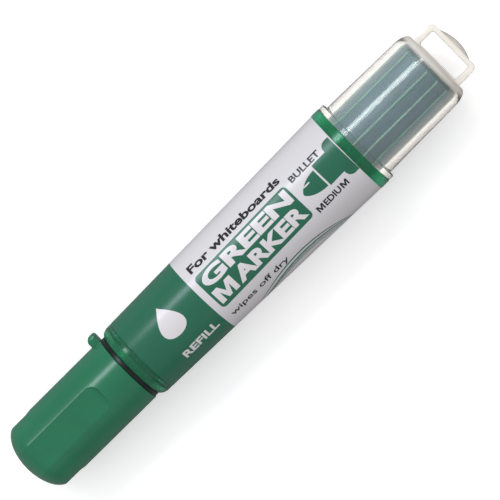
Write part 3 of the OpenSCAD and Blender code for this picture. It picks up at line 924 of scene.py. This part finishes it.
# %% Sizes of the tank
RIBS = 16
RIB_WIDE, RIB_END_GAP = 0.6 * MM, 1.4 * MM
FOOT, FOOT_BLEND = 1.2 * MM, 0.3 * MM  # how far the thick foot of the tank shows as a dark ring
TANK_R = 7.15 * MM
RIB_R = radius_of("ink_tank")
TANK_NECK_R, TANK_MOUTH_R = 4.25 * MM, 3.0 * MM
NECK_LEN, SHOULDER_LEN = 4.3 * MM, 2.8 * MM
body_x0 = tank_x0 + NECK_LEN + SHOULDER_LEN
print("the tank's body is %.1f mm long" % ((tank_x1 - body_x0) / MM))


# %% Blown plastic of the tank
def blown_tank_plastic(name, colour, cloud, rough, gloss):
    """Milky blue-grey plastic with the ink's colour behind it, darkest at the foot where it is thick."""
    material, tree, output, place = start_material(name)
    clouds = speckle(tree, place, 0.2, 3.0).outputs["Fac"]
    spot = add(tree, "ShaderNodeSeparateXYZ", {0: place}).outputs["X"]
    foot = add(tree, "ShaderNodeMapRange", {"Value": spot, "From Min": tank_x1 - FOOT - FOOT_BLEND,
                                            "From Max": tank_x1 - FOOT}).outputs["Result"]
    body = shade(tree, spread(tree, clouds, 0, 1), linear(colour), linear(cloud))
    skin = add(tree, "ShaderNodeBsdfPrincipled", {
        "Base Color": shade(tree, foot, body, linear("16505C")),
        "Roughness": spread(tree, clouds, *rough), "IOR": 1.5,
        "Subsurface Weight": 0.15, "Subsurface Scale": 0.8 * MM,
        "Coat Weight": gloss, "Coat Roughness": 0.08})
    tree.links.new(skin.outputs[0], output.inputs[0])
    return material


tank_plastic = blown_tank_plastic("translucent_tank_plastic", "386A7E", "3E7188", (0.36, 0.44), 0.2)
# The ribs are the tank's own plastic, given a lighter, glossier teal: partly the ink's colour behind them,
# partly painted light, a glow painted along each rib.
rib_plastic_painted_glow = blown_tank_plastic("translucent_rib_inked_with_painted_glow", "4E8C8C", "5A9696", (0.14, 0.2), 0.4)
print("tank plastics made")


# %% Ribs by Geometry Nodes
RIB_INPUTS = {"Body": "Geometry", "Ribs": "Int", "Start": "Float", "Length": "Float", "Radius": "Float",
              "Height": "Float", "Width": "Float", "Axis Height": "Float"}


def rib_tree(name):
    """Bars of a given section along X, turned about the axis at even angles."""
    tree = bpy.data.node_groups.new(name, "GeometryNodeTree")
    for label, kind in RIB_INPUTS.items():
        tree.interface.new_socket(label, in_out="INPUT", socket_type="NodeSocket" + kind)
    tree.interface.new_socket("Geometry", in_out="OUTPUT", socket_type="NodeSocketGeometry")
    given = add(tree, "NodeGroupInput").outputs
    stop = add(tree, "ShaderNodeMath", {0: given["Start"], 1: given["Length"]}).outputs[0]
    spine = add(tree, "GeometryNodeCurvePrimitiveLine", {
        "Start": add(tree, "ShaderNodeCombineXYZ", {"X": given["Start"]}).outputs[0],
        "End": add(tree, "ShaderNodeCombineXYZ", {"X": stop}).outputs[0]})
    half_wide = add(tree, "ShaderNodeMath", {0: given["Width"], 1: 0.5}, operation="MULTIPLY").outputs[0]
    section = add(tree, "GeometryNodeCurvePrimitiveCircle", {"Resolution": 12, "Radius": half_wide},
                  mode="RADIUS")
    bar = add(tree, "GeometryNodeCurveToMesh", {
        "Curve": spine.outputs[0], "Profile Curve": section.outputs[0], "Fill Caps": True})
    top = add(tree, "ShaderNodeMath", {0: given["Radius"], 1: given["Height"]}, operation="ADD").outputs[0]
    middle = add(tree, "ShaderNodeMath", {0: top, 1: half_wide}, operation="SUBTRACT").outputs[0]
    lifted = add(tree, "GeometryNodeTransform", {
        "Geometry": bar.outputs[0],
        "Translation": add(tree, "ShaderNodeCombineXYZ", {"Z": middle}).outputs[0]})
    anchors = add(tree, "GeometryNodeMeshLine", {"Count": given["Ribs"], "Offset": (0, 0, 0)}, mode="OFFSET")
    step = add(tree, "ShaderNodeMath", {0: math.tau, 1: given["Ribs"]}, operation="DIVIDE")
    angle = add(tree, "ShaderNodeMath", {0: add(tree, "GeometryNodeInputIndex").outputs[0],
                                         1: step.outputs[0]}, operation="MULTIPLY")
    turn = add(tree, "ShaderNodeCombineXYZ", {"X": angle.outputs[0]})
    ribs = add(tree, "GeometryNodeInstanceOnPoints", {
        "Points": anchors.outputs[0], "Instance": lifted.outputs[0],
        "Rotation": add(tree, "FunctionNodeEulerToRotation", {0: turn.outputs[0]}).outputs[0]})
    raised = add(tree, "GeometryNodeTransform", {
        "Geometry": add(tree, "GeometryNodeRealizeInstances", {0: ribs.outputs[0]}).outputs[0],
        "Translation": add(tree, "ShaderNodeCombineXYZ", {"Z": given["Axis Height"]}).outputs[0]})
    painted = add(tree, "GeometryNodeSetMaterial", {"Geometry": raised.outputs[0], "Material": rib_plastic_painted_glow})
    add(tree, "NodeGroupOutput", {0: painted.outputs[0]})
    return tree


def grown(name, tree, sizes, material):
    """Run a Geometry Nodes tree on an empty mesh and keep its result as a plain object."""
    holder = bpy.data.objects.new(name, bpy.data.meshes.new(name))
    bpy.context.scene.collection.objects.link(holder)
    modifier = holder.modifiers.new("grow", "NODES")
    modifier.node_group = tree
    for socket in tree.interface.items_tree:
        if socket.name in sizes:
            modifier[socket.identifier] = sizes[socket.name]
    depsgraph = bpy.context.evaluated_depsgraph_get()
    mesh = bpy.data.meshes.new_from_object(holder.evaluated_get(depsgraph), depsgraph=depsgraph)
    bpy.data.objects.remove(holder)
    bm = bmesh.new()
    bm.from_mesh(mesh)
    return finish_mesh(name, bm, material, 40)


ribs = grown("tank_ribs", rib_tree("ribs_round_a_tank"), {
    "Ribs": RIBS, "Start": body_x0 + RIB_END_GAP, "Length": tank_x1 - body_x0 - 2 * RIB_END_GAP,
    "Radius": TANK_R, "Height": RIB_R - TANK_R, "Width": RIB_WIDE, "Axis Height": AXIS_Z}, rib_plastic_painted_glow)
place_on(ribs, "cartridge", "tank_blue_grey")

# %% The tank's bottle
GROOVE_X, GROOVE_W, GROOVE_R = 1.2 * MM, 1.0 * MM, 3.55 * MM
TANK_WALL, TANK_END_WALL = 0.85 * MM, 0.9 * MM
SHOULDER_STEP, SHOULDER_DROP = 0.8 * MM, 1.0 * MM
TANK_BORE_START, MOUTH_END = 0.5 * MM, 0.4 * MM  # behind the shoulder and behind the neck
groove_x0 = tank_x0 + GROOVE_X
groove_x1 = groove_x0 + GROOVE_W
tank_end_x = tank_x1 - TANK_END_WALL
tank_outline = rounded([
    (tank_x0, TANK_MOUTH_R, 0), (tank_x0, TANK_NECK_R, 0.2 * MM), (groove_x0, TANK_NECK_R, 0),
    (groove_x0, GROOVE_R, 0), (groove_x1, GROOVE_R, 0), (groove_x1, TANK_NECK_R, 0),
    (tank_x0 + NECK_LEN, TANK_NECK_R, 0.4 * MM),
    (body_x0 - SHOULDER_STEP, TANK_R - SHOULDER_DROP, 0.8 * MM), (body_x0, TANK_R, 0.5 * MM),
    (tank_x1, TANK_R, 0.8 * MM), (tank_x1, 0, 0)], 6)
tank_inside = rounded([
    (tank_end_x, 0, 0), (tank_end_x, TANK_R - TANK_WALL, 0.6 * MM),
    (body_x0 + TANK_BORE_START, TANK_R - TANK_WALL, 0.4 * MM),
    (tank_x0 + NECK_LEN + MOUTH_END, TANK_MOUTH_R, 0)], 5)
tank = turned("tank_bottle", tank_outline + tank_inside, tank_plastic)
place_on(tank, "cartridge", "tank_blue_grey", "ink_tank")

# %% [markdown]
# ## Pieces that keep their CAD shape
# The inner pieces are seen only through the clear plastic or when the marker is taken apart, and
# their CAD shapes are right, so they keep them and only get their finishes.

# %% Give the inner pieces their finishes
KEPT = {
    "inner_cap": liner_plastic, "ink_collector": collector_plastic, "relay_wick": wick_fibre,
    "pipe_block": block_plastic, "ink_pipe": pipe_plastic, "air_pipe": pipe_plastic,
    "tank_stopper": liner_plastic, "neck_seal": seal_rubber, "ink_charge": green_ink, "seal_ball": ball_steel,
}
for name, material in KEPT.items():
    mesh = nodes[name].data
    mesh.materials.clear()
    mesh.materials.append(material)
print("finishes set on", len(KEPT), "inner pieces")

# %% [markdown]
# ## Floor and light
# A pale floor, a long soft key light from the lug's side, slightly blue as daylight is, which draws
# the bright line along the cap and the barrel, a weaker fill from the other side, and a pale
# surround that is brighter on the key's side. A studio keeps a bright floor out of shiny edges with
# black flags. Here the floor and the surround turn darker for rays that a piece has mirrored, and
# only for those, so clear plastic still shows the bright floor through it.

# %% Floor
FLOOR_REACH = 3.0  # metres from the middle to each side
FLOOR_GLOW = 0.32
corners = [(sx * FLOOR_REACH, sy * FLOOR_REACH, 0) for sx, sy in ((-1, -1), (1, -1), (1, 1), (-1, 1))]
floor_mesh = bpy.data.meshes.new("floor")
floor_mesh.from_pydata(corners, [], [(0, 1, 2, 3)])
floor = bpy.data.objects.new("floor", floor_mesh)
bpy.context.scene.collection.objects.link(floor)
floor_paint, tree, output, place = start_material("matt_white_board")
paper = speckle(tree, place, 0.05, 3.0).outputs["Fac"]
board = shade(tree, paper, linear("F4F4F5"), linear("F6F6F6"))
dimmed = shade(tree, paper, linear("868688"), linear("8A8A8C"))
seen = add(tree, "ShaderNodeBsdfPrincipled", {
    "Base Color": board, "Roughness": 0.9, "Specular IOR Level": 0.1,
    "Emission Color": board, "Emission Strength": FLOOR_GLOW})
flagged = add(tree, "ShaderNodeBsdfPrincipled", {"Base Color": dimmed, "Roughness": 0.9})
mirrored = add(tree, "ShaderNodeLightPath").outputs["Is Reflection Ray"]
skin = add(tree, "ShaderNodeMixShader", {0: mirrored, 1: seen.outputs[0], 2: flagged.outputs[0]})
tree.links.new(skin.outputs[0], output.inputs[0])
floor_mesh.materials.append(floor_paint)
print("floor laid, %.0f m wide" % (2 * FLOOR_REACH))


# %% Lights
def soft_light(name, place, size, power, colour=(1, 1, 1), target=(0, 0, 0.01)):
    """A rectangular soft box that faces a point; size is its length along X and its width."""
    lamp = bpy.data.lights.new(name, "AREA")
    lamp.shape = "RECTANGLE"
    lamp.size, lamp.size_y = size
    lamp.energy = power
    lamp.color = colour
    box = bpy.data.objects.new(name, lamp)
    bpy.context.scene.collection.objects.link(box)
    box.location = place
    back = (Vector(place) - Vector(target)).normalized()
    side = (Vector((1, 0, 0)) - back * back.x).normalized()
    box.matrix_world = Matrix((side, back.cross(side), back)).transposed().to_4x4()
    box.location = place
    print(name, "light of", power, "W")


soft_light("key", (-0.04, 0.44, 0.56), (0.42, 0.14), 1.5, (0.82, 0.90, 1.0))
soft_light("fill", (0.1, -0.6, 0.5), (0.8, 0.5), 0.2)

# %% Surround
AWAY, TOWARDS_KEY, FLAGGED = 0.52, 1.3, 0.12  # how bright it is on each side, and in a mirrored ray
world = bpy.data.worlds.new("surround")
bpy.context.scene.world = world
world.use_nodes = True
tree = world.node_tree
backdrop = tree.nodes["Background"]
heading = add(tree, "ShaderNodeTexCoord").outputs["Generated"]
side = add(tree, "ShaderNodeSeparateXYZ", {0: heading}).outputs["Y"]
ramp = add(tree, "ShaderNodeMapRange", {"Value": side, "From Min": -1.0, "From Max": 1.0,
                                        "To Min": AWAY, "To Max": TOWARDS_KEY}).outputs["Result"]
path = add(tree, "ShaderNodeLightPath").outputs
mirrored = add(tree, "ShaderNodeMath", {0: path["Is Glossy Ray"], 1: path["Is Reflection Ray"]},
               operation="MULTIPLY").outputs[0]
strength = add(tree, "ShaderNodeMix", {0: mirrored, 2: ramp, 3: FLAGGED}, data_type="FLOAT").outputs[0]
backdrop.inputs["Color"].default_value = linear("FFFFFF")
tree.links.new(strength, backdrop.inputs["Strength"])
bpy.context.scene.view_settings.view_transform = "Standard"
print("surround from", AWAY, "to", TOWARDS_KEY)
